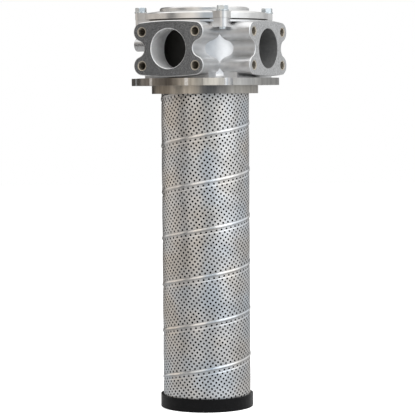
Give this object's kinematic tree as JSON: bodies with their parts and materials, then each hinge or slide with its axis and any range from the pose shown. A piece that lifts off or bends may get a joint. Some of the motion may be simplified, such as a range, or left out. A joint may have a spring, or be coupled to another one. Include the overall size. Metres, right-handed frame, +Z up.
{
  "type": "tank top return filter",
  "caption": "Tank-top oil filter: cast flanged head with flange ports at a right angle, bolted cover and a long spiral-seamed perforated element hanging below.",
  "frame": {"origin": "centre of the mounting flange's underside, which sits on the tank top", "axes": "+Z up out of the tank, port A faces -Y, port B faces +X"},
  "size_m": [0.2005, 0.195, 0.5225],
  "materials": {
    "cast_aluminium": "sand cast, machined on the port faces and seams",
    "cover_aluminium": "cast and turned",
    "zinc_steel": "bright blue zinc plating",
    "galvanised_steel": "galvanised perforated sheet",
    "spring_steel": "plain spring wire",
    "black_nylon": "moulded, slight sheen",
    "seal_rubber": "smooth black rubber",
    "filter_media": "pleated glass fibre mat"
  },
  "bodies": {
    "housing": {"filter_head": "cast_aluminium", "cover": "cover_aluminium", "cover_o_ring": "seal_rubber", "cover_bolt_1": "zinc_steel", "cover_bolt_2": "zinc_steel", "cover_bolt_3": "zinc_steel", "cover_bolt_4": "zinc_steel", "cover_washer_1": "zinc_steel", "cover_washer_2": "zinc_steel", "cover_washer_3": "zinc_steel", "cover_washer_4": "zinc_steel", "gauge_plug": "zinc_steel", "tank_o_ring": "seal_rubber", "element_top_cap": "black_nylon", "element_o_ring": "seal_rubber", "perforated_tube": "galvanised_steel", "pleated_media": "filter_media", "core_tube": "galvanised_steel", "bottom_cap": "black_nylon", "bypass_spring": "spring_steel"},
    "bail": {"bail_handle": "zinc_steel"},
    "valve": {"bypass_poppet": "black_nylon", "poppet_seal": "seal_rubber", "spring_retainer": "zinc_steel", "stem_nut": "zinc_steel"}
  },
  "joints": [
    {"name": "bail_swing", "type": "hinge", "parent": "housing", "child": "bail", "pos_m": [0, 0, 0.0113], "axis": [0, -1, 0], "range_deg": [0, 180]},
    {"name": "bypass_open", "type": "slide", "parent": "housing", "child": "valve", "axis": [0, 0, -1], "range_m": [0, 0.008], "stiffness_N_per_m": 6000, "springref_m": -0.015, "deforming": ["bypass_spring"]}
  ]
}
